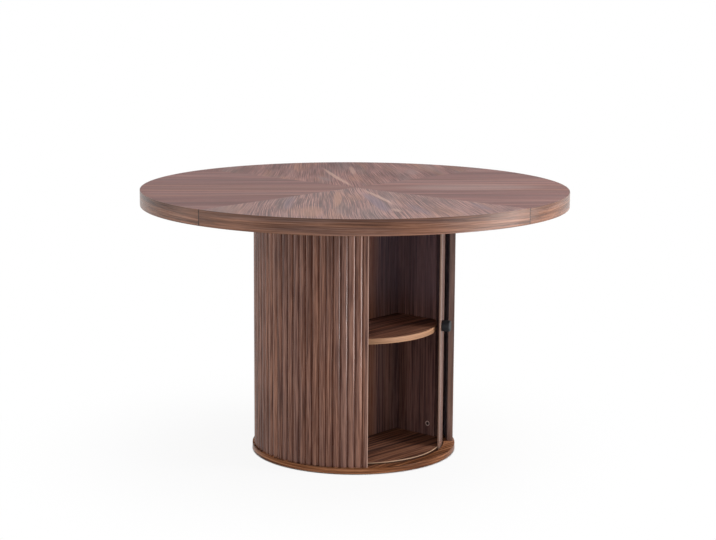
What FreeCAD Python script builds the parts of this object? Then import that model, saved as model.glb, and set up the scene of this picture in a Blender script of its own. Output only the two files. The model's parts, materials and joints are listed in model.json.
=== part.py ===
import FreeCAD, Part
import math
import os

from FreeCAD import Vector

# Round table on a drum cabinet with a sliding curved door.
# Millimetres, +Z up. The origin is the bottom centre. The cabinet opens towards -Y.
# Angles are in degrees, seen from above, counter-clockwise from +X, so -90 is the front.

# ---------------------------------------------------------------- driving dimensions

# overall
table_height = 750.0
top_diameter = 1200.0
top_thickness = 43.0

# carcass: two side panels and a centre panel between floor and ceiling
compartment_width = 360.0
panel_depth = 302.6
panel_thickness = 16.0
centre_thickness = 18.0
panel_band_thickness = 1.0
shelf_underside = 350.0
shelf_thickness = 16.0
shelf_setback = 0.2
shelf_band_thickness = 1.5

# plinth and cap, with floor and ceiling panels let into them
board_thickness = 16.0
board_overhang = 5.5
board_band_thickness = 1.0
pocket_web = 7.0
inlay_step = 3.0
inlay_band_thickness = 1.5
corner_setback = 1.2
glide_height = 2.0
glide_diameter = 32.0
glide_inset = 50.0
glide_spacing = 250.0
glide_nail_diameter = 3.0
fitting_cover = 2.0

# sliding door and its track
door_to_inlay = 0.7
door_backing_thickness = 2.5
door_slat_height = 3.0
door_slat_side_height = 0.8
door_slat_gap = 1.2
door_slat_target_pitch = 18.2
door_stile_width = 36.0
door_tail_width = 12.0
door_tail_overlap = 16.0
door_rest_travel = 9.3
guide_lip_thickness = 2.7
guide_foot_height = 2.7
guide_top_play = 1.5
guide_length = 24.0
guide_lip_drop = 0.5
run_gap = 0.3

# fluted shell
track_to_shell = 10.5
shell_backing_thickness = 9.5
slat_height = 6.5
slat_side_height = 1.3
slat_gap = 1.8
slat_target_pitch = 20.5
slat_end_trim = 7.8
opening_half_angle = 40.65
edge_strip_thickness = 2.0

# knob
knob_diameter = 32.0
knob_length = 24.0
knob_height = 368.0
knob_from_edge = 17.8
knob_front_fillet = 3.0
knob_back_chamfer = 0.8
knob_stop_gap = 1.0
knob_screw_diameter = 4.0
knob_screw_grip = 12.0
knob_screw_head = 7.6
knob_screw_head_depth = 2.2

# cam locks and their bolts
cam_diameter = 15.0
cam_cover = 3.5
cam_from_end = 34.0
cam_from_front = 25.0
cam_from_side = 40.0
cam_slot_width = 1.6
cam_slot_length = 8.0
cam_slot_depth = 2.0
cam_bolt_diameter = 6.0
cam_thread_diameter = 5.0

# dowels
dowel_diameter = 8.0
dowel_stand = 20.0
dowel_to_cam = 50.0
shelf_dowel_from_front = 36.0
shelf_dowel_from_back = 31.0

# screws that join the side panels to the centre panel
screw_from_end = 100.0
screw_head_diameter = 10.0
screw_shank_diameter = 7.0
screw_thread_diameter = 5.0
screw_thread_length = 34.0
screw_head_depth = 3.0

# screws that hold the shell to plinth and cap
shell_screw_spacing = 220.0
shell_screw_diameter = 4.0
shell_screw_head = 8.0
shell_screw_head_depth = 2.4
shell_screw_grip = 26.0

# tabletop and its fixings
veneer_thickness = 0.6
top_band_thickness = 1.0
top_band_glue_line = 0.2
top_band_joint_angles = (-89.0, 0.0, 90.0, 179.6)
veneer_seam_angles = (-90.0, 0.0, 90.0, 180.0)
bolt_diameter = 8.0
bolt_head_across_flats = 13.0
bolt_head_height = 5.3
bolt_from_side = 60.0
bolt_from_front = 41.3
washer_diameter = 20.0
washer_thickness = 2.0
insert_diameter = 14.0
insert_length = 18.0
insert_spare = 2.0

# play between a fitting and its bore, on the diameter
fit_play = 0.1

# easing of the edge bands' outer corners and of the door's leading edge
band_arris = 0.5
door_edge_rounding = 1.0

# distance under which two places count as one
hair = 0.001

# ---------------------------------------------------------------- dependent dimensions

top_radius = top_diameter / 2
inlay_thickness = board_thickness - pocket_web + inlay_step

# heights, from the ground up
plinth_bottom = glide_height
ledge_bottom = plinth_bottom + board_thickness
pocket_bottom = plinth_bottom + pocket_web
floor_top = pocket_bottom + inlay_thickness
top_bottom = table_height - top_thickness
ledge_top = top_bottom - board_thickness
pocket_top = top_bottom - pocket_web
ceiling_bottom = pocket_top - inlay_thickness
shelf_top = shelf_underside + shelf_thickness

# carcass, in plan
side_inner = compartment_width / 2
side_outer = side_inner + panel_thickness
side_middle = (side_inner + side_outer) / 2
side_front = panel_depth / 2
centre_face = centre_thickness / 2
shelf_radius = math.hypot(side_inner, side_front) - shelf_setback

# radii, from the carcass outwards
inlay_radius = math.hypot(side_outer, side_front) + corner_setback
door_inner_radius = inlay_radius + door_to_inlay
door_slat_back_radius = door_inner_radius + door_backing_thickness
door_outer_radius = door_slat_back_radius + door_slat_height
track_outer_radius = door_outer_radius + guide_lip_thickness + run_gap
shell_inner_radius = track_outer_radius + track_to_shell
slat_back_radius = shell_inner_radius + shell_backing_thickness
slat_crest_radius = slat_back_radius + slat_height
board_radius = slat_crest_radius + board_overhang

# fittings
cam_depth = min(panel_thickness, centre_thickness) - cam_cover
cam_y = side_front - cam_from_front
cam_x = side_inner - cam_from_side
cam_bolt_grip = inlay_thickness - fitting_cover
dowel_grip = inlay_thickness - fitting_cover
bolt_x = side_inner - bolt_from_side
bolt_y = side_front - bolt_from_front
screw_middle_height = (floor_top + ceiling_bottom) / 2
screw_heights = (floor_top + screw_from_end, screw_middle_height, ceiling_bottom - screw_from_end)


def degrees_for(length, radius):
    """Angle that a length takes along an arc of this radius."""
    return math.degrees(length / radius)


# the slats fill the arc between the edge strips, and the outermost two are trimmed
opening_right = -90.0 + opening_half_angle
opening_left = -90.0 - opening_half_angle
strip_angle = degrees_for(edge_strip_thickness, slat_crest_radius)
shell_start = opening_right + strip_angle
shell_end = opening_left + 360.0 - strip_angle
trim_angle = degrees_for(slat_end_trim, slat_crest_radius)
slat_arc = shell_end - shell_start + 2 * trim_angle
slat_count = round(slat_arc / degrees_for(slat_target_pitch, slat_crest_radius))
slat_pitch = slat_arc / slat_count

# the knob meets the edge strips at the door's two limits
knob_reach = degrees_for(knob_diameter / 2 + knob_stop_gap, shell_inner_radius)
knob_angle = opening_right - knob_reach - door_rest_travel
door_close_travel = opening_left + knob_reach - knob_angle

# the closed door still reaches behind the opening's right edge
door_lead_angle = knob_angle - degrees_for(knob_from_edge, door_outer_radius)
door_stile_end = door_lead_angle + degrees_for(door_stile_width, door_outer_radius)
door_tail_closed = opening_right + degrees_for(door_tail_overlap, door_outer_radius)
door_tail_angle = door_tail_closed - door_close_travel
door_tail_start = door_tail_angle - degrees_for(door_tail_width, door_outer_radius)
door_slat_arc = door_tail_start - door_stile_end
door_slat_count = round(door_slat_arc / degrees_for(door_slat_target_pitch, door_outer_radius))
door_slat_pitch = door_slat_arc / door_slat_count
door_bottom = pocket_bottom + run_gap + guide_foot_height
door_top = pocket_top - guide_top_play - guide_foot_height


# ---------------------------------------------------------------- shapes

def polar(radius, angle, z=0.0):
    """Point at a radius and an angle round the table's axis."""
    turn = math.radians(angle)
    return Vector(radius * math.cos(turn), radius * math.sin(turn), z)


def arc(radius, start, end, z):
    """Arc edge about the table's axis."""
    middle = (start + end) / 2
    return Part.Arc(polar(radius, start, z), polar(radius, middle, z), polar(radius, end, z)).toShape()


def prism(edges, height):
    """Solid raised straight up from a closed loop of edges."""
    return Part.Face(Part.Wire(edges)).extrude(Vector(0, 0, height))


def sector(inner, outer, start, end, low, high, stops=()):
    """Part of a ring, between two angles and two heights, its arcs divided at the stops."""
    angles = [start, *stops, end]
    edges = [arc(outer, first, last, low) for first, last in zip(angles, angles[1:])]
    edges.append(Part.makeLine(polar(outer, end, low), polar(inner, end, low)))
    angles.reverse()
    edges += [arc(inner, first, last, low) for first, last in zip(angles, angles[1:])]
    edges.append(Part.makeLine(polar(inner, start, low), polar(outer, start, low)))
    return prism(edges, high - low)


def wedge(radius, start, end, low, high, stops=()):
    """Slice of a disc, between two angles and two heights, its arc divided at the stops."""
    centre = Vector(0, 0, low)
    angles = [start, *stops, end]
    edges = [Part.makeLine(centre, polar(radius, start, low))]
    edges += [arc(radius, first, last, low) for first, last in zip(angles, angles[1:])]
    edges.append(Part.makeLine(polar(radius, end, low), centre))
    return prism(edges, high - low)


def disc(radius, low, high):
    """Round board on the table's axis."""
    return Part.makeCylinder(radius, high - low, Vector(0, 0, low))


def ring(inner, outer, low, high):
    """Full ring on the table's axis."""
    return disc(outer, low, high).cut(disc(inner, low, high))


def eased(band, radius, thickness):
    """Edge band with a small chamfer on its level edges at this radius."""
    rims = []
    for edge in band.Edges:
        gaps = [abs(math.hypot(vertex.X, vertex.Y) - radius) for vertex in edge.Vertexes]
        if edge.BoundBox.ZLength < hair and max(gaps) < hair:
            rims.append(edge)
    return band.makeChamfer(min(band_arris, thickness / 2), rims)


def block(x_range, y_range, z_range):
    """Rectangular board between three pairs of limits."""
    spans = (x_range, y_range, z_range)
    size = [max(span) - min(span) for span in spans]
    corner = Vector(min(x_range), min(y_range), min(z_range))
    return Part.makeBox(size[0], size[1], size[2], corner)


def rod(diameter, start, end):
    """Round bar or bore between two points."""
    along = end - start
    return Part.makeCylinder(diameter / 2, along.Length, start, along)


def countersunk(head, shank, head_depth, start, end):
    """Countersunk screw with its head flush at one point and its tip at the other."""
    along = end - start
    neck = start + Vector(along).normalize() * head_depth
    cone = Part.makeCone(head / 2, shank / 2, head_depth, start, along)
    return cone.fuse(rod(shank, neck, end)).removeSplitter()


def reed(back_radius, middle, pitch, gap, side_height, height, low, high):
    """Half-round slat with its back on a cylinder about the table's axis."""
    half = (pitch - degrees_for(gap, back_radius)) / 2
    start = middle - half
    end = middle + half
    side_radius = back_radius + side_height
    crown = polar(back_radius + height, middle, low)
    edges = [
        arc(back_radius, start, end, low),
        Part.makeLine(polar(back_radius, end, low), polar(side_radius, end, low)),
        Part.Arc(polar(side_radius, end, low), crown, polar(side_radius, start, low)).toShape(),
        Part.makeLine(polar(side_radius, start, low), polar(back_radius, start, low)),
    ]
    return prism(edges, high - low)


def cut_all(shape, tools):
    """Shape with every tool taken out of it."""
    return shape.cut(Part.makeCompound(tools))


def turned(shape, angle):
    """Copy of a shape turned round the table's axis."""
    copy = shape.copy()
    copy.rotate(Vector(0, 0, 0), Vector(0, 0, 1), angle)
    return copy


def save(node, shape):
    """Write one sub-part, which is a solid or a group of like solids."""
    group = Part.makeCompound(shape) if isinstance(shape, list) else shape
    group.exportStep("parts/" + node + ".step")


# ---------------------------------------------------------------- screws and dowels

def shell_screws(play=0.0):
    """Screws into the shell, through the plinth from below and through the cap from above."""
    radius = (shell_inner_radius + slat_back_radius) / 2
    count = round((shell_end - shell_start) / degrees_for(shell_screw_spacing, radius))
    step = (shell_end - shell_start) / count
    head = shell_screw_head + play
    shank = shell_screw_diameter + play
    screws = []
    for index in range(count):
        angle = shell_start + (index + 0.5) * step
        for face, tip in (
            (plinth_bottom, ledge_bottom + shell_screw_grip + play),
            (top_bottom, ledge_top - shell_screw_grip - play),
        ):
            start = polar(radius, angle, face)
            screws.append(countersunk(head, shank, shell_screw_head_depth, start, polar(radius, angle, tip)))
    return screws


def carcass_screws(play=0.0):
    """Screws through the side panels into the centre panel's ends."""
    shank = screw_shank_diameter + play
    screws = []
    for side in (-1, 1):
        for height in screw_heights:
            start = Vector(side * side_outer, 0, height)
            neck = Vector(side * side_inner, 0, height)
            tip = Vector(side * (side_inner - screw_thread_length - play), 0, height)
            head = countersunk(screw_head_diameter + play, shank, screw_head_depth, start, neck)
            screws.append(head.fuse(rod(screw_thread_diameter + play, neck, tip)))
    return screws


def carcass_dowels(play=0.0):
    """Dowels that locate the upright panels on floor and ceiling."""
    side_y = cam_y - dowel_to_cam
    centre_x = cam_x - dowel_to_cam
    places = [(side * side_middle, y) for side in (-1, 1) for y in (-side_y, side_y)]
    places += [(-centre_x, 0.0), (centre_x, 0.0)]
    diameter = dowel_diameter + play
    dowels = []
    for x, y in places:
        for end, up in ((floor_top, 1), (ceiling_bottom, -1)):
            root = Vector(x, y, end - up * (dowel_grip + play))
            dowels.append(rod(diameter, root, Vector(x, y, end + up * (dowel_stand + play))))
    return dowels


def shelf_dowels(play=0.0):
    """Dowels between the side panels and the shelf's ends."""
    height = (shelf_underside + shelf_top) / 2
    grip = panel_thickness - fitting_cover
    diameter = dowel_diameter + play
    dowels = []
    for side in (-1, 1):
        for y in (-centre_face - shelf_dowel_from_back, -side_front + shelf_dowel_from_front):
            inner = Vector(side * (side_inner - dowel_stand - play), y, height)
            outer = Vector(side * (side_inner + grip + play), y, height)
            dowels.append(rod(diameter, inner, outer))
    return dowels


# ---------------------------------------------------------------- cam locks

def cam_places():
    """For each cam: its point on a panel's face, the way into the panel, and its panel's end."""
    places = []
    for end, up in ((floor_top, 1), (ceiling_bottom, -1)):
        height = end + up * cam_from_end
        for side in (-1, 1):
            outward = Vector(side, 0, 0)
            places.append((Vector(side * side_inner, -cam_y, height), outward, end))
            places.append((Vector(side * side_inner, cam_y, height), outward, end))
            places.append((Vector(side * cam_x, centre_face, height), Vector(0, -1, 0), end))
    return places


def cam_bolt_root(point, inward, end):
    """Where a cam's bolt leaves the floor or ceiling, in the middle of the panel's thickness."""
    thickness = panel_thickness if inward.x else centre_thickness
    middle = point + inward * (thickness / 2)
    return Vector(middle.x, middle.y, end)


def cam_lock(point, inward):
    """Round cam with a cross recess in its face."""
    cam = rod(cam_diameter - fit_play, point, point + inward * cam_depth)
    upright = Vector(0, 0, 1)
    level = upright.cross(inward)
    for along, other in ((level, upright), (upright, level)):
        long_half = along * (cam_slot_length / 2)
        wide_half = other * (cam_slot_width / 2)
        corners = [
            point + long_half + wide_half,
            point - long_half + wide_half,
            point - long_half - wide_half,
            point + long_half - wide_half,
            point + long_half + wide_half,
        ]
        cam = cam.cut(Part.Face(Part.makePolygon(corners)).extrude(inward * cam_slot_depth))
    return cam


def cam_bolt(point, inward, end):
    """Bolt screwed into the floor or ceiling and standing up to its cam."""
    root = cam_bolt_root(point, inward, end)
    up = Vector(0, 0, math.copysign(1, point.z - end))
    reach = cam_from_end - cam_diameter / 2 - run_gap
    stem = rod(cam_bolt_diameter, root, root + up * reach)
    return stem.fuse(rod(cam_thread_diameter, root - up * cam_bolt_grip, root))


def cam_bores():
    """Bores in the upright panels for cams and bolt stems."""
    bores = []
    for point, inward, end in cam_places():
        root = cam_bolt_root(point, inward, end)
        bores.append(rod(cam_diameter, point, point + inward * (cam_depth + fit_play)))
        bores.append(rod(cam_bolt_diameter + run_gap, root, Vector(root.x, root.y, point.z)))
    return bores


def cam_thread_bores():
    """Bores in the floor and ceiling panels for the cam bolts."""
    bores = []
    for point, inward, end in cam_places():
        root = cam_bolt_root(point, inward, end)
        up = Vector(0, 0, math.copysign(1, point.z - end))
        bores.append(rod(cam_thread_diameter + fit_play, root, root - up * (cam_bolt_grip + fit_play)))
    return bores


# ---------------------------------------------------------------- plinth and cap

def glides(play=0.0):
    """Nail-on glides on a circle under the plinth."""
    radius = board_radius - glide_inset
    count = round(360.0 / degrees_for(glide_spacing, radius))
    feet = []
    for index in range(count):
        angle = 360.0 * index / count
        ground = polar(radius, angle)
        face = polar(radius, angle, plinth_bottom)
        tip = polar(radius, angle, pocket_bottom - fitting_cover + play)
        feet.append(rod(glide_diameter, ground, face).fuse(rod(glide_nail_diameter + play, face, tip)))
    return feet


def build_plinth():
    inner = board_radius - board_band_thickness
    board = disc(inner, plinth_bottom, ledge_bottom)
    pocket = disc(track_outer_radius, pocket_bottom, ledge_bottom)
    save("plinth_board", cut_all(board, [pocket] + shell_screws(fit_play) + glides(fit_play)))
    band = ring(inner, board_radius, plinth_bottom, ledge_bottom)
    save("plinth_edge_band", eased(band, board_radius, board_band_thickness))
    save("glide_feet", glides())


def build_cap():
    inner = board_radius - board_band_thickness
    board = disc(inner, ledge_top, top_bottom)
    pocket = disc(track_outer_radius, ledge_top, pocket_top)
    save("cap_board", cut_all(board, [pocket] + shell_screws(fit_play) + bolt_bores()))
    band = ring(inner, board_radius, ledge_top, top_bottom)
    save("cap_edge_band", eased(band, board_radius, board_band_thickness))


def build_inlays():
    inner = inlay_radius - inlay_band_thickness
    bores = carcass_dowels(fit_play) + cam_thread_bores()
    save("floor_panel", cut_all(disc(inner, pocket_bottom, floor_top), bores))
    save("floor_edge_band", ring(inner, inlay_radius, pocket_bottom, floor_top))
    save("ceiling_panel", cut_all(disc(inner, ceiling_bottom, pocket_top), bores + bolt_bores()))
    save("ceiling_edge_band", ring(inner, inlay_radius, ceiling_bottom, pocket_top))


# ---------------------------------------------------------------- shell

def build_shell():
    low, high = ledge_bottom, ledge_top
    backing = sector(shell_inner_radius, slat_back_radius, shell_start, shell_end, low, high)
    save("shell_backing", cut_all(backing, shell_screws(fit_play)))
    save("shell_screws", shell_screws())
    outline = sector(slat_back_radius, slat_crest_radius + run_gap, shell_start, shell_end, low, high)
    slats = []
    for index in range(slat_count):
        middle = shell_start - trim_angle + (index + 0.5) * slat_pitch
        slat = reed(slat_back_radius, middle, slat_pitch, slat_gap, slat_side_height, slat_height, low, high)
        outermost = index in (0, slat_count - 1)
        slats.append(slat.common(outline) if outermost else slat)
    save("shell_slats", slats)
    strips = []
    for start, end in ((opening_right, shell_start), (shell_end, opening_left + 360.0)):
        strips.append(sector(shell_inner_radius, slat_crest_radius, start, end, low, high))
    save("shell_edge_strips", strips)


# ---------------------------------------------------------------- carcass

def build_carcass():
    board_front = side_front - panel_band_thickness
    height = (floor_top, ceiling_bottom)
    bores = cam_bores() + carcass_dowels(fit_play) + shelf_dowels(fit_play) + carcass_screws(fit_play)
    bands = []
    for node, side in (("side_panel_left", -1), ("side_panel_right", 1)):
        width = (side * side_inner, side * side_outer)
        save(node, cut_all(block(width, (-board_front, board_front), height), bores))
        bands.append(block(width, (-side_front, -board_front), height))
        bands.append(block(width, (board_front, side_front), height))
    save("side_panel_edge_bands", bands)
    centre = block((-side_inner, side_inner), (-centre_face, centre_face), height)
    save("centre_panel", cut_all(centre, bores))
    save("carcass_dowels", carcass_dowels())
    save("carcass_screws", carcass_screws())
    save("cam_locks", [cam_lock(point, inward) for point, inward, end in cam_places()])
    save("cam_bolts", [cam_bolt(point, inward, end) for point, inward, end in cam_places()])


def build_shelf():
    inner = shelf_radius - shelf_band_thickness
    space = block((-side_inner, side_inner), (-shelf_radius, -centre_face), (shelf_underside, shelf_top))
    board = disc(inner, shelf_underside, shelf_top).common(space)
    save("shelf", cut_all(board, shelf_dowels(fit_play)))
    band = eased(ring(inner, shelf_radius, shelf_underside, shelf_top), shelf_radius, shelf_band_thickness)
    save("shelf_edge_band", band.common(space))
    save("shelf_dowels", shelf_dowels())


# ---------------------------------------------------------------- door

def knob_screw(play=0.0):
    """Countersunk screw from the stile's inner face into the knob."""
    start = Vector(door_inner_radius, 0, knob_height)
    tip = Vector(door_outer_radius + knob_screw_grip + play, 0, knob_height)
    head = knob_screw_head + play
    screw = countersunk(head, knob_screw_diameter + play, knob_screw_head_depth, start, tip)
    return turned(screw, knob_angle)


def build_knob():
    back = Vector(door_outer_radius, 0, knob_height)
    front = Vector(door_outer_radius + knob_length, 0, knob_height)
    knob = rod(knob_diameter, back, front)
    rims = [edge for edge in knob.Edges if edge.Closed]
    rims.sort(key=lambda edge: edge.BoundBox.XMax)
    knob = knob.makeFillet(knob_front_fillet, rims[-1:])
    knob = knob.makeChamfer(knob_back_chamfer, back_rim(knob))
    save("door_knob", turned(knob, knob_angle).cut(knob_screw(fit_play)))
    save("door_knob_screw", knob_screw())


def back_rim(knob):
    """The knob's round edge against the door."""
    rims = [edge for edge in knob.Edges if edge.Closed]
    return [min(rims, key=lambda edge: edge.BoundBox.XMax)]


def guide(angle, low, high, lip_low, lip_high):
    """L-shaped shoe: a foot across the track, and a lip up the door's outer face."""
    half = degrees_for(guide_length / 2, door_outer_radius)
    outer = track_outer_radius - run_gap
    foot = sector(inlay_radius + run_gap, outer, angle - half, angle + half, low, high)
    lip = sector(door_outer_radius, outer, angle - half, angle + half, lip_low, lip_high)
    return foot.fuse(lip).removeSplitter()


def build_guides():
    half = degrees_for(guide_length / 2, door_outer_radius)
    middle = (door_lead_angle + door_tail_angle) / 2
    low = pocket_bottom + run_gap
    high = pocket_top - guide_top_play
    lip_low = ledge_bottom - guide_lip_drop
    lip_high = ledge_top + guide_lip_drop
    guides = []
    for angle in (door_lead_angle + half, middle, door_tail_angle - half):
        guides.append(guide(angle, low, door_bottom, low, lip_low))
        guides.append(guide(angle, door_top, high, lip_high, high))
    save("door_guides", guides)


def upright_edges(shape, angle):
    """Edges that stand at one angle round the table's axis."""
    edges = []
    for edge in shape.Edges:
        middle = edge.CenterOfMass
        level_gap = middle.distanceToPoint(polar(math.hypot(middle.x, middle.y), angle, middle.z))
        if edge.BoundBox.DiagonalLength - edge.BoundBox.ZLength < hair and level_gap < hair:
            edges.append(edge)
    return edges


def build_door():
    low, high = door_bottom, door_top
    inner, outer = door_inner_radius, door_outer_radius
    stile = sector(inner, outer, door_lead_angle, door_stile_end, low, high)
    stile = stile.makeFillet(door_edge_rounding, upright_edges(stile, door_lead_angle))
    save("door_stile", stile.cut(knob_screw(fit_play)))
    save("door_panel", sector(inner, door_slat_back_radius, door_stile_end, door_tail_start, low, high))
    save("door_tail_stile", sector(inner, outer, door_tail_start, door_tail_angle, low, high))
    slats = []
    for index in range(door_slat_count):
        middle = door_stile_end + (index + 0.5) * door_slat_pitch
        slats.append(reed(door_slat_back_radius, middle, door_slat_pitch, door_slat_gap,
                          door_slat_side_height, door_slat_height, low, high))
    save("door_slats", slats)


# ---------------------------------------------------------------- tabletop

def bolt_places():
    return [(side * bolt_x, way * bolt_y) for side in (-1, 1) for way in (-1, 1)]


def bolt_bores():
    """Through bores in ceiling panel and cap for the tabletop's bolts."""
    bores = []
    for x, y in bolt_places():
        bores.append(rod(bolt_diameter + run_gap, Vector(x, y, ceiling_bottom), Vector(x, y, top_bottom)))
    return bores


def insert_rods(diameter):
    """Bars or bores that reach from the tabletop's underside as deep as an insert."""
    high = top_bottom + insert_length
    return [rod(diameter, Vector(x, y, top_bottom), Vector(x, y, high)) for x, y in bolt_places()]


def hexagon(x, y, low, high):
    """Six-sided bolt head."""
    radius = bolt_head_across_flats / math.sqrt(3)
    corners = [Vector(x, y, low) + polar(radius, 60.0 * index) for index in range(7)]
    return Part.Face(Part.makePolygon(corners)).extrude(Vector(0, 0, high - low))


def build_fixings():
    bolts = []
    washers = []
    face = ceiling_bottom - washer_thickness
    tip = top_bottom + insert_length - insert_spare
    for x, y in bolt_places():
        shank = rod(bolt_diameter, Vector(x, y, face), Vector(x, y, tip))
        bolts.append(hexagon(x, y, face - bolt_head_height, face).fuse(shank))
        washer = rod(washer_diameter, Vector(x, y, face), Vector(x, y, ceiling_bottom))
        hole = rod(bolt_diameter + run_gap, Vector(x, y, face), Vector(x, y, ceiling_bottom))
        washers.append(washer.cut(hole))
    save("tabletop_bolts", bolts)
    save("bolt_washers", washers)
    pairs = zip(insert_rods(insert_diameter), insert_rods(bolt_diameter + fit_play))
    save("threaded_inserts", [outer.cut(hole) for outer, hole in pairs])


def rim_stops(start, end):
    """Angles between two others where the tabletop's veneers or edge bands meet."""
    angles = set(top_band_joint_angles + veneer_seam_angles)
    angles |= {angle + 360.0 for angle in angles}
    return [angle for angle in sorted(angles) if start < angle < end]


def top_board(radius, low, high):
    """Full round layer of the tabletop, its rim divided as the bands' is."""
    start = veneer_seam_angles[0]
    angles = [start, *rim_stops(start, start + 360.0), start + 360.0]
    return prism([arc(radius, first, last, low) for first, last in zip(angles, angles[1:])], high - low)


def build_tabletop():
    band_radius = top_radius - top_band_thickness
    core_radius = band_radius - top_band_glue_line
    core_low = top_bottom + veneer_thickness
    core_high = table_height - veneer_thickness
    sockets = insert_rods(insert_diameter + fit_play)
    save("tabletop_core", cut_all(top_board(core_radius, core_low, core_high), sockets))
    save("tabletop_backing_veneer", cut_all(top_board(core_radius, top_bottom, core_low), sockets))
    seams = (*veneer_seam_angles, veneer_seam_angles[0] + 360.0)
    joints = (*top_band_joint_angles, top_band_joint_angles[0] + 360.0)
    for index, corner in enumerate(("front_right", "back_right", "back_left", "front_left")):
        start, end = seams[index], seams[index + 1]
        veneer = wedge(core_radius, start, end, core_high, table_height, rim_stops(start, end))
        save("veneer_" + corner, veneer)
        start, end = joints[index], joints[index + 1]
        band = sector(band_radius, top_radius, start, end, top_bottom, table_height, rim_stops(start, end))
        save("edge_band_" + corner, eased(band, top_radius, top_band_thickness))


os.makedirs("parts", exist_ok=True)
build_plinth()
build_cap()
build_inlays()
build_shell()
build_carcass()
build_shelf()
build_door()
build_knob()
build_guides()
build_fixings()
build_tabletop()
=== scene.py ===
import json
import math
from collections import namedtuple

import bmesh
import bpy
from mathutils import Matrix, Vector

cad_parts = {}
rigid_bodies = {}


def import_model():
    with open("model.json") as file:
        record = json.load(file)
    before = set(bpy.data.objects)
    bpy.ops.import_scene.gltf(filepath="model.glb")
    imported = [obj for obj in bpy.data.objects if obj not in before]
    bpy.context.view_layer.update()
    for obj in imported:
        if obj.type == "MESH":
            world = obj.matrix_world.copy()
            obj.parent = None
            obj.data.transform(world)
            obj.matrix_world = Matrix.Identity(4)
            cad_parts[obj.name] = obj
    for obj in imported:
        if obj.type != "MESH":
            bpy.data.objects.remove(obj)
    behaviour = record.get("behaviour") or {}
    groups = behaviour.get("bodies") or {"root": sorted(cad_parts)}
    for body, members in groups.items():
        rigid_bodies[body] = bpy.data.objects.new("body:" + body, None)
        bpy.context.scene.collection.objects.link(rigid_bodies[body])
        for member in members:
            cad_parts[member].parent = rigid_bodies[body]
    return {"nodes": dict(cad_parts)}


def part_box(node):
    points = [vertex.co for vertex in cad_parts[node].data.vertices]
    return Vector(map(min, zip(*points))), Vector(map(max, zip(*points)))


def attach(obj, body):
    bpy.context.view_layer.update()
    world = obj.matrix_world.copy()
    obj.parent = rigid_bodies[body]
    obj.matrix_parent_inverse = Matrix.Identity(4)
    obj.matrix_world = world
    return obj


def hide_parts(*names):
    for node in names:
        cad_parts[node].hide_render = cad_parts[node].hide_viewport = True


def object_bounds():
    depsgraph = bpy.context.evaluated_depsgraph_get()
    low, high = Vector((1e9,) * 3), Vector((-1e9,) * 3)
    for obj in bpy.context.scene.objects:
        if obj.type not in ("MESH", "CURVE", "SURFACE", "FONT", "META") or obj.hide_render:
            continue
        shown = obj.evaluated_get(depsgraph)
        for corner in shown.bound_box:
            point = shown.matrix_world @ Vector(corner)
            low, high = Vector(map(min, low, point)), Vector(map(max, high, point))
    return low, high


bl_info = {
    "name": "Round Drum Table",
    "version": (1, 0, 0),
    "blender": (4, 5, 0),
    "location": "View3D > Sidebar > Table",
    "description": "Dresses a round walnut table on a reeded drum cabinet and sets its studio",
    "category": "Add Mesh",
}

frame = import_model()
NODES = frame["nodes"]
CAD_BOX = [list(corner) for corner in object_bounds()]

TABLE = "table"
DOOR = "door"

QUARTER = math.radians(90)
WHOLE_TURN = 4 * QUARTER
ARC_STEP = math.radians(1.25)
SMOOTH_BELOW = math.radians(32)

# Blender's spin turns clockwise about its axis, so this one points down.
ANTICLOCKWISE = (0, 0, -1)

# The tabletop's quarters, each starting where the one before it ends, from straight in front of the
# doorway, and the angles at which the lengths of its edge band meet.
CORNERS = ("front_right", "back_right", "back_left", "front_left")
BAND_JOINTS = tuple(math.radians(turn) for turn in (-89.0, 0.0, 90.0, 179.6, 271.0))


# ---------------------------------------------------------------- sizes and colours

def ink(red, green, blue):
    """Colour given as it looks on a screen, from 0 to 255, as the shader's own numbers."""
    linear = []
    for value in (red, green, blue):
        part = value / 255
        linear.append(part / 12.92 if part <= 0.04045 else ((part + 0.055) / 1.055) ** 2.4)
    return (*linear, 1.0)


def times(shade, amount):
    """A colour made lighter or darker."""
    return [part * amount for part in shade[:3]] + [1.0]


def reach(node):
    """How far a node reaches from the table's axis along +X."""
    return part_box(node)[1].x


def heights(node):
    """Lowest and highest level of a node."""
    low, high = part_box(node)
    return low.z, high.z


def radii(node):
    """Least and greatest distance of a node's points from the table's axis."""
    distances = [vert.co.xy.length for vert in NODES[node].data.vertices]
    return min(distances), max(distances)


def listed(kind, table, **options):
    """A setting for each row of a table of descriptions and defaults, labelled as it is called."""
    return {
        name: kind(
            name=name.replace("_", " ").capitalize(), description=description, default=default, **options
        )
        for name, (description, default) in table.items()
    }


def grains(table, tones):
    """A row for each tone of each kind of grain."""
    return {
        kind + "_" + tone: (tone.capitalize() + " grain of " + use, ink(*parts))
        for kind, (use, *shades) in table.items()
        for tone, parts in zip(tones, shades)
    }


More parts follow.
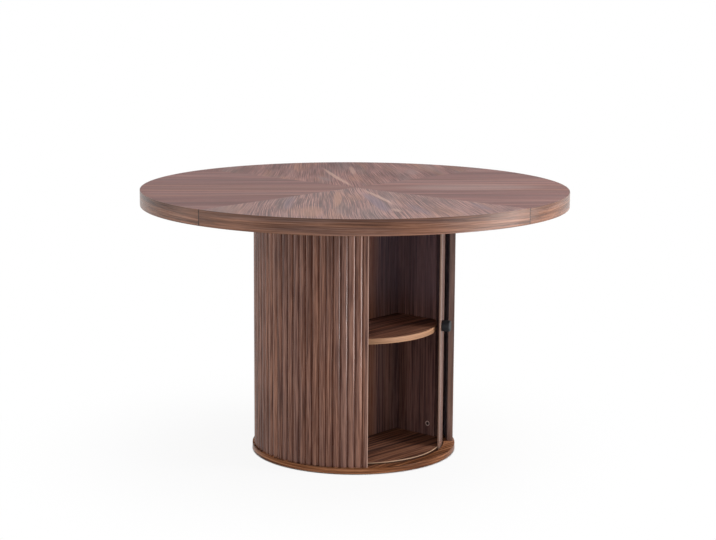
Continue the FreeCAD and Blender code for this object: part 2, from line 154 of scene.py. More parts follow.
LENGTHS = {
    "arris": ("Easing of the edge bands' corners", 0.0006),
    "band_thickness": ("Thickness of the walnut edge bands", 0.001),
    "pale_thickness": ("Thickness of the light bands on floor and ceiling", 0.0015),
    "joint_gap": ("Half of the gap where two lengths of edge band meet", 0.0003),
    "slat_width": ("Width of a slat at its back", 0.0187),
    "slat_side": ("Height of a slat's straight side", 0.0013),
    "slat_height": ("Height of a slat's crown above its back", 0.0065),
    "slat_trim": ("What is cut off the two slats beside the opening", 0.0078),
    "strip_width": ("Thickness of the strips that close the shell's ends", 0.002),
    "door_slat_gap": ("Gap between two of the door's slats", 0.0012),
    "door_slat_side": ("Height of the straight side of a door's slat", 0.0008),
    "stile_ease": ("Rounding of the door's leading edge", 0.001),
    "knob_ease": ("Rounding of the knob's front edge", 0.0042),
    "knob_back_ease": ("Rounding of the knob's edge against the door", 0.0030),
    "knob_border": ("Width of the border round the knob's sunk face", 0.0015),
    "knob_sink": ("Depth of the knob's sunk face", 0.0004),
    "cam_diameter": ("Diameter of a cam lock's face", 0.0149),
    "cam_depth": ("Depth of a cam lock in its panel", 0.0125),
    "cam_rim": ("Width of the rim round a cam lock's dish", 0.0022),
    "cam_dish": ("Depth of the dish in a cam lock's face", 0.0012),
    "cam_socket_rim": ("Width of the dish round the driver's socket", 0.0020),
    "cam_socket": ("Depth of the driver's socket", 0.0020),
    "cam_from_end": ("From a panel's end to its cam locks", 0.034),
    "cam_from_front": ("From a side panel's upright edge to its cam locks", 0.025),
    "cam_from_side": ("From the side panels to the centre panel's cam locks", 0.040),
}
ANGLES = {
    "slat_pitch": ("Angle from one slat to the next", math.radians(4.1329)),
    "opening_half": ("Half of the arc left open for the doorway", math.radians(40.65)),
    "door_lead": ("Place of the door's leading edge", math.radians(-66.277)),
    "door_stile_end": ("Where the smooth stile ends", math.radians(-58.188)),
    "door_tail_start": ("Where the tail stile starts", math.radians(16.2935)),
    "door_tail_end": ("Place of the door's trailing edge", math.radians(18.9897)),
    "knob_angle": ("Where the knob stands round the door", math.radians(-62.2776)),
}
COUNTS = {"door_slat_count": ("Slats on the door", 18)}

# Each kind of walnut: what has its grain, and its dark, middle and light tone.
TONES = ("dark", "middle", "light")
WALNUTS = {
    "top": ("the tabletop", (78, 50, 48), (116, 78, 74), (158, 116, 108)),
    "rim": ("the tabletop's edge", (72, 46, 36), (115, 78, 60), (154, 110, 88)),
    "slat": ("the slats", (85, 55, 45), (122, 84, 70), (161, 118, 99)),
    # The panel tones are painted light: lighter than the other walnut to lift the dim inside of the cabinet.
    "panel": ("the panels inside the cabinet", (88, 66, 66), (134, 101, 97), (170, 132, 124)),
    "board": ("the shelf", (76, 48, 38), (112, 74, 58), (160, 114, 92)),
    # The floor and ceiling tones are painted shade: darker than the shelf's for the shade under the
    # tabletop.
    "floor": ("floor and ceiling", (64, 38, 28), (104, 66, 48), (150, 104, 80)),
    "plinth": ("plinth and cap", (66, 38, 24), (124, 77, 47), (173, 119, 84)),
    "end": ("the shell's ends beside the doorway", (56, 43, 39), (88, 67, 59), (118, 93, 83)),
    "door": ("the door", (82, 60, 52), (116, 88, 78), (146, 116, 104)),
    # The wall's pale tones are painted light: they brighten the dark gap between the door and the shell.
    "wall": ("the shell's inner wall", (156, 148, 158), (194, 184, 194), (216, 206, 212)),
}

# Each speckled material: what is made of it, and its dark and light tone.
FITTINGS = {
    "zinc": ("the cam locks' faces", (236, 210, 202), (250, 226, 218)),
    # The socket tones are painted shade inside the cam locks' dishes.
    "socket": ("the cam locks' dishes", (60, 46, 44), (74, 56, 54)),
    "steel": ("screws and bolts", (140, 140, 144), (178, 178, 180)),
    "beech": ("the dowels", (186, 146, 104), (212, 176, 134)),
    "nylon": ("glides and guides", (38, 36, 36), (52, 49, 48)),
    "pressed": ("the tabletop's core", (142, 112, 78), (190, 160, 120)),
}
COLOURS = {
    **grains(WALNUTS, TONES),
    **grains(FITTINGS, ("dark", "light")),
    # groove is painted shade in the grooves between slats and on the wall seen between them.
    "groove": ("Stain that gathers in the grooves between slats", ink(96, 50, 32)),
    "door_edge": ("Leading edge of the door", ink(156, 125, 110)),
    "blush": ("Warm streaks in the walnut", ink(166, 120, 98)),
    "blush_dark": ("Dark grain in the warm streaks", ink(108, 66, 48)),
    "slate": ("Cool streaks in the walnut", ink(126, 106, 104)),
    "slate_dark": ("Dark grain in the cool streaks", ink(86, 66, 64)),
    # The painted glow is painted warm light: a reddish band on the centre panel where the light falls in.
    "ember": ("Red streak in the veneer of the centre panel", ink(176, 112, 72)),
    # The shade cast is painted cool shade over the veneer towards the right panel, above the shelf.
    "smoke": ("Grey cast of the veneer towards the right panel", ink(116, 102, 114)),
    # The streak colour also paints the highlight on the shell's left end strip.
    "streak": ("Single light streaks in the tabletop", ink(196, 160, 144)),
    "violet": ("Single dark streaks in the tabletop", ink(104, 86, 100)),
    # Painted sheen: a pale cast standing for the reflection off the tabletop's lighter veneer.
    "bloom": ("Pale cast on the tabletop's lighter veneer", ink(204, 188, 184)),
    "seam": ("Joints between the edge bands", ink(40, 28, 24)),
    "tan": ("Light edge band on the shelf", ink(178, 133, 100)),
    "pale": ("Light edge bands on floor and ceiling", ink(200, 164, 134)),
    "knob": ("Black of the knob", ink(20, 20, 24)),
}
FACTORS = {
    "gloss": ("Roughness of the lacquered wood", 0.27),
    "top_gloss": ("Roughness of the tabletop's lacquer", 0.50),
    "slat_gloss": ("Roughness of the slats' lacquer", 0.23),
    "rim_gloss": ("Roughness of the edge bands' lacquer", 0.27),
    "shine": ("Strength of the lacquer's reflection", 0.25),
    "top_shine": ("Strength of the tabletop's reflection", 0.10),
    "slat_shine": ("Strength of the slats' reflection", 0.16),
    "rim_shine": ("Strength of the edge bands' reflection", 0.17),
    "base_shine": ("Strength of the reflection of plinth and cap", 0.04),
}
POWERS = {
    "key_light": ("Power of the main light", 46.0),
    "right_sheen": ("Power of the wide light that shows in gloss alone", 92.0),
    "left_sheen": ("Power of its counterpart on the left", 34.0),
    "slat_sheen": ("Power of the low light that shows in the slats' gloss", 13.0),
    "top_light": ("Power of the light overhead", 34.0),
    "fill_light": ("Power of the light that fills the shadows", 20.0),
}
CAMERA_PLACE = {"camera_place": ("Place of the camera", (-3.81487, -3.38162, 1.4262))}
CAMERA_TURN = {
    "camera_turn": ("Turn of the camera", [math.radians(turn) for turn in (79.8623, -0.3286, -48.4979)]),
}
LENS = {"focal_length": ("Lens of the camera in millimetres", 92.061)}
SKY = {"ambient": ("Strength of the light from all round", 0.65)}


class TableShape(bpy.types.PropertyGroup):
    """Sizes that the dressed pieces take beyond the frame's own."""

    __annotations__ = {
        **listed(bpy.props.FloatProperty, LENGTHS, unit="LENGTH"),
        **listed(bpy.props.FloatProperty, ANGLES, unit="ROTATION"),
        **listed(bpy.props.IntProperty, COUNTS),
    }


class TableFinish(bpy.types.PropertyGroup):
    """Colours and gloss of the table's finishes."""

    __annotations__ = {
        **listed(bpy.props.FloatVectorProperty, COLOURS, size=4, subtype="COLOR", min=0.0, max=1.0),
        **listed(bpy.props.FloatProperty, FACTORS, subtype="FACTOR", min=0.0, max=1.0),
    }


class TableStudio(bpy.types.PropertyGroup):
    """Camera and lights."""

    __annotations__ = {
        **listed(bpy.props.FloatVectorProperty, CAMERA_PLACE, subtype="TRANSLATION"),
        **listed(bpy.props.FloatVectorProperty, CAMERA_TURN, subtype="EULER"),
        **listed(bpy.props.FloatProperty, LENS),
        **listed(bpy.props.FloatProperty, SKY, subtype="FACTOR", min=0.0, max=1.0),
        **listed(bpy.props.FloatProperty, POWERS, unit="POWER"),
    }


# ---------------------------------------------------------------- shader building

def combined(operation, flipped=False):
    """A method that adds a Math node for a wire and another value."""
    def method(self, other):
        return self.maths(operation, other, self) if flipped else self.maths(operation, self, other)

    return method


class Wire:
    """A shader socket; sums and products with it add Math nodes."""

    def __init__(self, owner, socket):
        self.owner = owner
        self.socket = socket

    def maths(self, operation, *values):
        return self.owner.node("ShaderNodeMath", {"operation": operation}, dict(enumerate(values)))

    __add__ = __radd__ = combined("ADD")
    __sub__ = combined("SUBTRACT")
    __rsub__ = combined("SUBTRACT", flipped=True)
    __mul__ = __rmul__ = combined("MULTIPLY")
    __truediv__ = combined("DIVIDE")
    least = combined("MINIMUM")
    most = combined("MAXIMUM")

    def __abs__(self):
        return self.maths("ABSOLUTE", self)

    def root(self):
        return self.maths("SQRT", self)

    def floor(self):
        return self.maths("FLOOR", self)

    def part(self):
        return self.maths("FRACT", self)


class Shaders:
    """The nodes of a material or of the world."""

    def __init__(self, owner, output_kind):
        owner.use_nodes = True
        self.tree = owner.node_tree
        self.tree.nodes.clear()
        self.output = self.tree.nodes.new(output_kind)

    def put(self, socket, value):
        """Links a wire to a socket, or sets the socket's own value."""
        if isinstance(value, Wire):
            self.tree.links.new(value.socket, socket)
        else:
            socket.default_value = value

    def node(self, kind, settings=None, inputs=None, output=0):
        """Adds a node, sets its properties, then its sockets, and returns one of its outputs."""
        added = self.tree.nodes.new(kind)
        for name, value in (settings or {}).items():
            if name == "stops":
                self.set_stops(added.color_ramp, value)
            else:
                setattr(added, name, value)
        for name, value in (inputs or {}).items():
            self.put(self.find(added.inputs, name), value)
        return Wire(self, self.find(added.outputs, output))

    def find(self, sockets, wanted):
        """The socket with a number or a name among those in use."""
        used = [socket for socket in sockets if socket.enabled]
        if isinstance(wanted, int):
            return used[wanted]
        return next(socket for socket in used if socket.name == wanted)

    def set_stops(self, ramp, stops):
        while len(ramp.elements) < len(stops):
            ramp.elements.new(0.5)
        for element, (position, shade) in zip(ramp.elements, stops):
            element.position = position
            element.color = shade

    def seen(self):
        """1 where the camera looks, directly or through gloss and glass."""
        rays = ("Is Camera Ray", "Is Glossy Ray", "Is Transmission Ray")
        direct, gloss, glass = (self.node("ShaderNodeLightPath", output=ray) for ray in rays)
        return direct.most(gloss).most(glass)

    def show(self, amount, first, second):
        """Sends a mix of two shaders to the output."""
        mixed = self.node("ShaderNodeMixShader", None, {0: amount, 1: first, 2: second})
        self.put(self.output.inputs["Surface"], mixed)


class Finish(Shaders):
    """One procedural material and the nodes that are added to it."""

    def __init__(self, name):
        self.material = bpy.data.materials.new(name)
        super().__init__(self.material, "ShaderNodeOutputMaterial")
        self.look = bpy.context.scene.table_finish
        self.shader = self.tree.nodes.new("ShaderNodeBsdfPrincipled")
        self.lit = Wire(self, self.shader.outputs["BSDF"])
        self.put(self.output.inputs["Surface"], self.lit)

    def set(self, **values):
        """Sets the main shader's sockets, with spaces for the underscores of their names."""
        for name, value in values.items():
            self.put(self.shader.inputs[name.replace("_", " ").title().replace("Ior", "IOR")], value)

    def place(self):
        """The point on the piece, in metres in the table's frame."""
        return self.node("ShaderNodeTexCoord", output="Object")

    def split(self, vector):
        return tuple(self.node("ShaderNodeSeparateXYZ", None, {0: vector}, part) for part in range(3))

    def point(self):
        """The point's three coordinates."""
        return self.split(self.place())

    def turned(self, vector, about_z):
        return self.node("ShaderNodeMapping", None, {"Vector": vector, "Rotation": (0, 0, about_z)})

    def distance_out(self):
        """Distance from the table's axis."""
        x, y, z = self.point()
        return (x * x + y * y).root()

    def angle_round(self, cut):
        """Angle round the table's axis from half a turn below zero, with its jump where a piece ends."""
        x, y, z = self.split(self.turned(self.place(), math.pi - cut))
        return y.maths("ARCTAN2", y, x)

    def noise(self, along, across, depth, detail=2.0, roughness=0.5):
        vector = self.node("ShaderNodeCombineXYZ", None, {0: along, 1: across, 2: depth})
        return self.node("ShaderNodeTexNoise", None, {
            "Vector": vector, "Scale": 1.0, "Detail": detail, "Roughness": roughness,
        })

    def chance(self, value):
        """A number from 0 to 1 that is drawn for each whole value."""
        return self.node("ShaderNodeTexWhiteNoise", {"noise_dimensions": "1D"}, {"W": value})

    def ramp(self, value, stops):
        return self.node("ShaderNodeValToRGB", {"stops": stops}, {0: value})

    def spread(self, value, low, high, to_low=0.0, to_high=1.0):
        """Maps a stretch of values to another one, smoothly and held at its ends."""
        return self.node("ShaderNodeMapRange", {"interpolation_type": "SMOOTHSTEP"}, {
            "Value": value, "From Min": low, "From Max": high, "To Min": to_low, "To Max": to_high,
        })

    def patch(self, along, across, start, end, width):
        """1 along a soft streak from one point to another, and 0 outside it."""
        slope = (end[1] - start[1]) / (end[0] - start[0])
        near = (along - (start[0] + end[0]) / 2) / ((end[0] - start[0]) / 2)
        aside = (across - (along - start[0]) * slope - start[1]) / width
        return self.spread(near * near + aside * aside, 1.3, 0.2)

    def mix(self, amount, first, second):
        return self.node("ShaderNodeMix", {"data_type": "RGBA"}, {"Factor": amount, "A": first, "B": second})

    def bump(self, height, strength, distance):
        sockets = {"Height": height, "Strength": strength, "Distance": distance}
        return self.node("ShaderNodeBump", None, sockets)


# ---------------------------------------------------------------- wood

# Figures of walnut. "bands", "lines" and "hues" are how many to a metre there are across the grain and how
# strongly they show, "run" says how quickly they change along it, "wander" how far they bend, in metres,
# and how often, and "rings" how strongly growth rings show. "fan" is how far behind the table's axis the
# lines meet, or ahead of it where it is below zero.
Figure = namedtuple("Figure", "bands lines run wander hues rings fan", defaults=(0.0, None))
QUIET = Figure(bands=(20, 0.7), lines=(64, 1.4), run=1.0, wander=(0.012, 1.6), hues=(16, 0.25))
BOLD = Figure(bands=(14, 1.5), lines=(480, 5.9), run=3.0, wander=(0.015, 2.4), hues=(12, 0.50), fan=2.0)
SOFT = Figure(bands=(12, 1.2), lines=(420, 3.0), run=3.0, wander=(0.015, 2.4), hues=(12, 0.50), fan=-2.6)
REEDED = Figure(bands=(60, 0.9), lines=(420, 3.1), run=4.4, wander=(0.004, 4.0), hues=(66, 0.26))
UPRIGHT = Figure(bands=(22, 1.3), lines=(190, 2.8), run=1.6, wander=(0.012, 2.6), hues=(24, 0.35))
LEVEL = Figure(bands=(18, 1.8), lines=(110, 4.4), run=1.6, wander=(0.016, 2.2), hues=(20, 0.25), rings=0.3)
RIM = Figure(bands=(60, 1.0), lines=(220, 1.9), run=3.0, wander=(0.006, 2.2), hues=(66, 0.30))
DISC = Figure(bands=(50, 1.3), lines=(200, 2.4), run=3.0, wander=(0.006, 2.2), hues=(50, 0.10))

# How many fibres and pores to a metre there are along the grain and across it.
FIBRES = (12.0, 420.0)
PORES = (30.0, 900.0)

# Veneer of the tabletop's quarters. A streak goes from one point to another, along and across the grain,
# with half its width, its strength and its colour. A cast lies faintly over a whole quarter.
VENEER_FIGURES = {"front_left": BOLD, "front_right": QUIET, "back_left": QUIET, "back_right": SOFT}
STREAKS = {
    "front_left": (
        ((0.10, 0.018), (0.50, 0.060), 0.019, 0.68, "violet"),
        ((0.36, -0.135), (0.58, -0.155), 0.036, 0.50, "blush"),
        ((0.06, -0.045), (0.40, -0.075), 0.013, 0.60, "blush"),
        ((0.18, -0.180), (0.44, -0.200), 0.014, 0.42, "violet"),
        ((0.32, 0.115), (0.56, 0.160), 0.018, 0.34, "violet"),
        ((0.30, 0.300), (0.46, 0.330), 0.018, 0.34, "violet"),
        ((0.41, 0.076), (0.48, 0.086), 0.011, 0.40, "streak"),
        ((0.05, 0.025), (0.36, 0.083), 0.008, 0.52, "streak"),
    ),
    "front_right": (
        # A broad streak of painted sheen.
        ((0.12, 0.0), (0.54, 0.0), 0.075, 0.12, "bloom"),
    ),
    "back_right": (
        ((0.14, 0.060), (0.25, 0.094), 0.013, 0.50, "slate"),
        ((0.28, -0.189), (0.42, -0.189), 0.022, 0.45, "slate"),
        ((0.28, -0.016), (0.50, -0.012), 0.009, 0.42, "streak"),
        ((0.01, 0.009), (0.45, 0.071), 0.008, 0.56, "streak"),
    ),
}
# The front left quarter's cast is painted sheen.
CASTS = {"front_left": ((0.10, "bloom"),), "back_right": ((0.08, "top_dark"),)}

# How far apart in the noise the grain of two slats lies: along it at most, across it, in depth at most.
SLAT_SHIFT = (37.0, 0.5, 5.0)

# Half the width of a dark joint between two edge bands, and how far from its middle it has faded.
JOINT_WIDTHS = (0.0008, 0.0022)

# How far past plinth and cap a painted shadow covers the light bands in full, and where it has gone.
SHADE_ENDS = (0.0006, 0.0014)

# Painted shade: the rims are darker towards their top, most of all at this angle, where the light falls
# off them. The other two are how far from it that shade is still full and has faded to its least.
DARKEST = math.radians(-151)
FULL_SHADE = math.radians(11)
LEAST_SHADE = math.radians(28)


def upright_grain(finish):
    """Grain that runs up a panel that stands square to the frame."""
    x, y, z = finish.point()
    return z, x, y


def round_grain(finish, radius, cut):
    """Grain that runs level round a rim."""
    turn = finish.angle_round(cut)
    return turn * radius, finish.point()[2], turn * 0.0


def slat_grain(finish, radius):
    """Upright grain that is new on each slat, and two numbers from 0 to 1 for each slat."""
    shape = bpy.context.scene.table_shape
    start = -math.pi + shape.opening_half
    turn = finish.angle_round(-QUARTER)
    height = finish.point()[2]
    index = ((turn - start) / shape.slat_pitch).floor()
    lot = finish.chance(index + 0.5)
    along, across, depth = SLAT_SHIFT
    grain = height + lot * along, turn * radius + index * across, lot * depth
    return grain, (lot, finish.chance(index + 100.5))


def walnut(finish, grain, kind, figure, lots=None, streaks=(), covers=(), sheen=None):
    """Colours, pores and sheen of lacquered walnut along a grain.

    "lots" are two numbers that are drawn for each slat, "covers" colours laid over the wood with their
    strengths, and "sheen" is the lacquer's roughness and the strength of its reflection.
    """
    look = finish.look
    dark, middle, light = (getattr(look, kind + "_" + tone) for tone in TONES)
    along, across, depth = grain
    bands, band_strength = figure.bands
    lines, line_strength = figure.lines
    hues, hue_strength = figure.hues
    wander, turns = figure.wander
    bend = (finish.noise(along * turns, across * 5.0, depth * 5.0, 0.0) - 0.5) * wander * 2
    bent = across + bend
    line = across / (along / figure.fan + 1.0) + bend if figure.fan else bent
    run = along * figure.run
    broad = finish.noise(run, line * bands, depth * bands)
    fine = finish.noise(run * 1.6, line * lines, depth * lines, 3.0, 0.6)
    fibre = finish.noise(along * FIBRES[0], line * FIBRES[1], depth * FIBRES[1], 2.0, 0.6)
    pore = finish.noise(along * PORES[0], line * PORES[1], depth * PORES[1], 1.0)
    tone = (broad - 0.5) * band_strength + (fine - 0.5) * line_strength + (fibre - 0.5) * 0.5 + 0.5
    if figure.rings:
        field = finish.noise(run * 0.6, line * bands * 0.5, depth * bands * 0.5, 1.0)
        tone = tone + ((field * 26.0).part() - 0.5) * 0.45 * figure.rings
    if lots:
        tone = tone + (lots[0] - 0.5) * 0.30
    shade = finish.ramp(tone, [(0.10, dark), (0.50, middle), (0.90, light)])

    # warm and cool streaks, each drawn at its own place in the noise
    warm = finish.noise(run * 0.8 + 7.3, line * hues + 3.1, depth * hues)
    cool = finish.noise(run * 0.7 + 21.7, line * hues + 9.4, depth * hues)
    warm, cool = (finish.spread(hue, 0.48, 0.66, 0.0, hue_strength) for hue in (warm, cool))
    if lots:
        warm = warm.most(finish.spread(lots[1], 0.60, 1.0, 0.0, hue_strength))
        cool = cool.most(finish.spread(lots[1], 0.40, 0.0, 0.0, hue_strength))
    shade = finish.mix(warm, shade, finish.mix(tone, look.blush_dark, look.blush))
    shade = finish.mix(cool, shade, finish.mix(tone, look.slate_dark, look.slate))
    for start, end, width, amount, hue in streaks:
        shade = finish.mix(finish.patch(along, bent, start, end, width) * amount, shade, getattr(look, hue))

    pores = finish.spread(pore, 0.58, 0.70)
    shade = finish.mix(pores * 0.30, shade, dark)
    for amount, hue in covers:
        shade = finish.mix(amount, shade, hue)
    gloss, shine = sheen or (look.gloss, look.shine)
    finish.set(
        base_color=shade,
        roughness=finish.spread(fibre, 0.2, 0.8, gloss - 0.04, gloss + 0.08),
        specular_ior_level=shine,
        normal=finish.bump(fibre * 0.6 - pores, 0.12, 0.0003),
    )
    return finish.material


def veneer_finish(corner, heading):
    """Veneer of one quarter of the top, grained along its middle line."""
    finish = Finish("walnut_veneer_" + corner)
    look = finish.look
    grain = finish.split(finish.turned(finish.place(), -heading))
    covers = [(amount, getattr(look, hue)) for amount, hue in CASTS.get(corner, ())]
    return walnut(
        finish, grain, "top", VENEER_FIGURES[corner],
        streaks=STREAKS.get(corner, ()), covers=covers, sheen=(look.top_gloss, look.top_shine),
    )


def rim_finish(name, node, start, span, kind, figure):
    """Edge band with its grain level round a rim, a dark joint at each end, and painted shade at its top."""
    finish = Finish(name)
    look = finish.look
    radius = reach(node)
    low, high = heights(node)
    turn = finish.angle_round(start)
    from_start = (turn + math.pi) * radius
    to_end = (math.pi - turn) * radius - (WHOLE_TURN - span) * radius
    joint = finish.spread(from_start.least(to_end), *JOINT_WIDTHS, 0.9, 0.0)
    x, y, z = finish.point()
    # Painted shade towards the rim's top, strongest round DARKEST.
    facing = x * math.cos(DARKEST) + y * math.sin(DARKEST)
    shaded = finish.spread(facing, radius * math.cos(LEAST_SHADE), radius * math.cos(FULL_SHADE), 0.30, 1.0)
    top_shade = finish.spread(z, low + (high - low) * 0.6, high, 0.0, 0.60)
    covers = ((top_shade * shaded, getattr(look, kind + "_dark")), (joint, look.seam))
    sheen = (look.rim_gloss, look.rim_shine if kind == "rim" else look.base_shine)
    return walnut(finish, (turn * radius, z, turn * 0.0), kind, figure, covers=covers, sheen=sheen)


def slat_finish():
    """Walnut that changes from slat to slat, with painted shade in the grooves and towards the foot."""
    finish = Finish("walnut_slats")
    look = finish.look
    radius = reach("shell_slats")
    back = radius - bpy.context.scene.table_shape.slat_height
    low = heights("shell_slats")[0]
    grain, lots = slat_grain(finish, radius)
    # Painted shade in the grooves: full near the backing, gone higher up the slat.
    shade_fade, clear = back + 0.0004, back + 0.0023
    groove = finish.spread(finish.distance_out(), shade_fade, clear, 0.90, 0.0)
    # Painted shade, darker towards the slats' foot.
    foot_shade_top = low + 0.30
    foot_shade = finish.spread(finish.point()[2], foot_shade_top, low, 0.0, 0.16)
    covers = ((foot_shade, look.slat_dark), (groove, look.groove))
    sheen = (look.slat_gloss, look.slat_shine)
    return walnut(finish, grain, "slat", REEDED, lots, covers=covers, sheen=sheen)


def door_finish():
    """Walnut of the door, stile and slats alike, with a lighter leading edge."""
    finish = Finish("walnut_door")
    grain, lots = slat_grain(finish, reach("door_panel"))
    lead = bpy.context.scene.table_shape.door_lead
    edge = finish.spread(finish.angle_round(math.pi), lead + 0.004, lead + 0.002)
    return walnut(finish, grain, "door", REEDED, lots, covers=((edge, finish.look.door_edge),))


def panel_finish():
    """Veneer of the upright panels, with painted warm light right of the middle,
    painted cool shade beyond it and painted shade under the shelf.
    """
    finish = Finish("walnut_panels")
    look = finish.look
    x, y, z = finish.point()
    low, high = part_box("centre_panel")
    middle = (low.x + high.x) / 2
    shelf = heights("shelf")[1]
    # Painted warm light in a band right of the middle.
    glow_band = finish.spread(x, middle - 0.05, middle + 0.05)
    glow_band_end = finish.spread(x, middle + 0.065, middle + 0.10, 0.50, 0.0)
    # Painted cool shade towards the right, above the shelf.
    grey_shade = finish.spread(x, middle - 0.04, high.x - 0.02)
    above = finish.spread(z, shelf - 0.01, shelf + 0.10, 0.0, 0.55)
    # Painted shade just under the shelf.
    below = finish.spread(z, shelf, shelf - 0.03, 0.0, 0.30)
    covers = ((glow_band * glow_band_end, look.ember), (grey_shade * above, look.smoke), (below, look.board_dark))
    return walnut(finish, upright_grain(finish), "panel", UPRIGHT, covers=covers)


def board_finish(name, kind):
    """Veneer of a level board, grained from side to side."""
    finish = Finish(name)
    look = finish.look
    sheen = (look.top_gloss, look.base_shine if kind == "plinth" else look.top_shine)
    return walnut(finish, finish.point(), kind, LEVEL, sheen=sheen)


def shell_end_finish(crest):
    """Flat strips that close the shell's ends, the left one with a painted highlight on its outer face."""
    finish = Finish("walnut_shell_ends")
    x, y, z = finish.point()
    # Painted highlight on the left strip's outer face, in the light streak colour.
    face = finish.spread(finish.distance_out(), crest - 0.004, crest - 0.002) * finish.spread(x, 0.02, -0.02)
    return walnut(finish, upright_grain(finish), "end", UPRIGHT, covers=((face * 0.9, finish.look.streak),))


def shell_wall_finish(outer):
    """Smooth inner wall of the shell, with painted shade outside where it shows between the slats."""
    finish = Finish("shell_inner_wall")
    # Painted shade on the outer face, seen in the gaps between the slats.
    outside = finish.spread(finish.distance_out(), outer - 0.002, outer - 0.001)
    return walnut(finish, upright_grain(finish), "wall", UPRIGHT, covers=((outside, finish.look.groove),))


def light_band_finish(name, shade, shade_fade=None):
    """Light edge band with faint lines, and painted shadow in the plinth's dark tone over the given levels.
    """
    finish = Finish(name)
    look = finish.look
    along, across, depth = round_grain(finish, reach("floor_edge_band"), QUARTER)
    lines = finish.noise(along * 5.0, across * 300.0, depth * 300.0)
    wood = finish.mix(finish.spread(lines, 0.35, 0.65), shade, times(shade, 0.62))
    # Painted shadow where the band meets plinth or cap.
    if shade_fade:
        wood = finish.mix(finish.spread(across, *shade_fade), look.plinth_dark, wood)
    finish.set(
        base_color=wood,
        roughness=finish.spread(lines, 0.3, 0.7, look.top_gloss, look.top_gloss + 0.1),
        specular_ior_level=look.top_shine,
        normal=finish.bump(lines, 0.15, 0.0002),
    )
    return finish.material


def grained(finish, light, dark, scale, roughness, bump, metallic=0.0, shine=0.5):
    """Small all-over grain, for pressed board, castings, plastic and dowels."""
    x, y, z = finish.point()
    speckle = finish.noise(x * scale, y * scale, z * scale, 3.0, 0.6)
    finish.set(
        base_color=finish.mix(finish.spread(speckle, 0.35, 0.65), dark, light),
        roughness=finish.spread(speckle, 0.2, 0.8, roughness - 0.06, roughness + 0.06),
        metallic=metallic,
        specular_ior_level=shine,
        normal=finish.bump(speckle, bump, 0.0002),
    )
    return finish.material


def cam_finish():
    """Bright casting, with painted shade inside the dish and socket of each face."""
    finish = Finish("zinc_casting")
    look = finish.look
    x, y, z = finish.point()
    wide = abs(x)
    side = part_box("side_panel_right")[0].x
    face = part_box("centre_panel")[1].y
    in_side = finish.spread(wide, side + 0.0003, side + 0.0006)
    in_centre = finish.spread(y, face - 0.0003, face - 0.0006)
    beside = finish.spread(wide, side - 0.004, side - 0.010)
    # Painted shade inside the dish and socket.
    inside = in_side.most(in_centre * beside)
    light = finish.mix(inside, look.zinc_light, look.socket_light)
    dark = finish.mix(inside, look.zinc_dark, look.socket_dark)
    return grained(finish, light, dark, 900.0, 0.42, 0.1)


def knob_finish():
    finish = Finish("black_lacquer")
    black = finish.look.knob
    return grained(finish, times(black, 1.4), black, 900.0, 0.55, 0.12, shine=0.2)


# ---------------------------------------------------------------- modelling

def clear_selection():
    if bpy.context.object and bpy.context.object.mode != "OBJECT":
        bpy.ops.object.mode_set(mode="OBJECT")
    bpy.ops.object.select_all(action="DESELECT")


def settle(name):
    """Names a new primitive, puts its place and turn into its mesh and opens it for editing."""
    piece = bpy.context.object
    piece.name = name
    piece.data.name = name
    bpy.ops.object.transform_apply(location=True, rotation=True, scale=True)
    bpy.ops.object.mode_set(mode="EDIT")
    bpy.ops.mesh.select_all(action="SELECT")
    return piece


def pick(kind, test):
    """Selects only the parts of the edited piece that pass a test."""
    bpy.ops.mesh.select_mode(type=kind)
    bpy.ops.mesh.select_all(action="DESELECT")
    mesh = bmesh.from_edit_mesh(bpy.context.object.data)
    parts = {"VERT": mesh.verts, "EDGE": mesh.edges, "FACE": mesh.faces}[kind]
    for part in parts:
        if test(part):
            part.select_set(True)
    bmesh.update_edit_mesh(bpy.context.object.data)


def push(offset):
    """Extrudes what is selected."""
    bpy.ops.mesh.extrude_region_move(TRANSFORM_OT_translate={"value": offset})


def finish_piece(piece, body, material, nodes):
    """Closes a piece: outward faces, smooth shading, finish, body and the nodes it stands for."""
    if bpy.context.object.mode != "EDIT":
        bpy.ops.object.mode_set(mode="EDIT")
    bpy.ops.mesh.select_all(action="SELECT")
    bpy.ops.mesh.normals_make_consistent(inside=False)
    clear_selection()
    piece.select_set(True)
    bpy.context.view_layer.objects.active = piece
    bpy.ops.object.shade_smooth_by_angle(angle=SMOOTH_BELOW)
    piece.data.materials.clear()
    piece.data.materials.append(material)
    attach(piece, body)
    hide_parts(*nodes)


def polar(radius, turn, z=0.0):
    return Vector((radius * math.cos(turn), radius * math.sin(turn), z))


def bent_board(name, inner, outer, low, high, start, end, ease=0.0):
    """A rectangle, eased at its outer corners and spun round the table's axis."""
    clear_selection()
    half_way = (inner + outer) / 2
    middle = polar(half_way, start, (low + high) / 2)
    bpy.ops.mesh.primitive_plane_add(size=1, location=middle, rotation=(QUARTER, 0, start))
    bpy.context.object.scale = (outer - inner, high - low, 1)
    piece = settle(name)
    if ease:
        pick("VERT", lambda vert: vert.co.xy.length > half_way)
        bpy.ops.mesh.bevel(offset=ease, segments=3, affect="VERTICES")
        bpy.ops.mesh.select_all(action="SELECT")
    arc = end - start
    whole = arc > WHOLE_TURN - 0.000001
    steps = max(2, round(arc / ARC_STEP))
    bpy.ops.mesh.spin(steps=steps, angle=arc, center=(0, 0, 0), axis=ANTICLOCKWISE, use_auto_merge=whole)
    if whole:
        bpy.ops.mesh.select_all(action="SELECT")
        bpy.ops.mesh.remove_doubles(threshold=0.00001)
        bpy.ops.mesh.select_all(action="DESELECT")
        bpy.ops.mesh.select_interior_faces()
        bpy.ops.mesh.delete(type="FACE")
    return piece


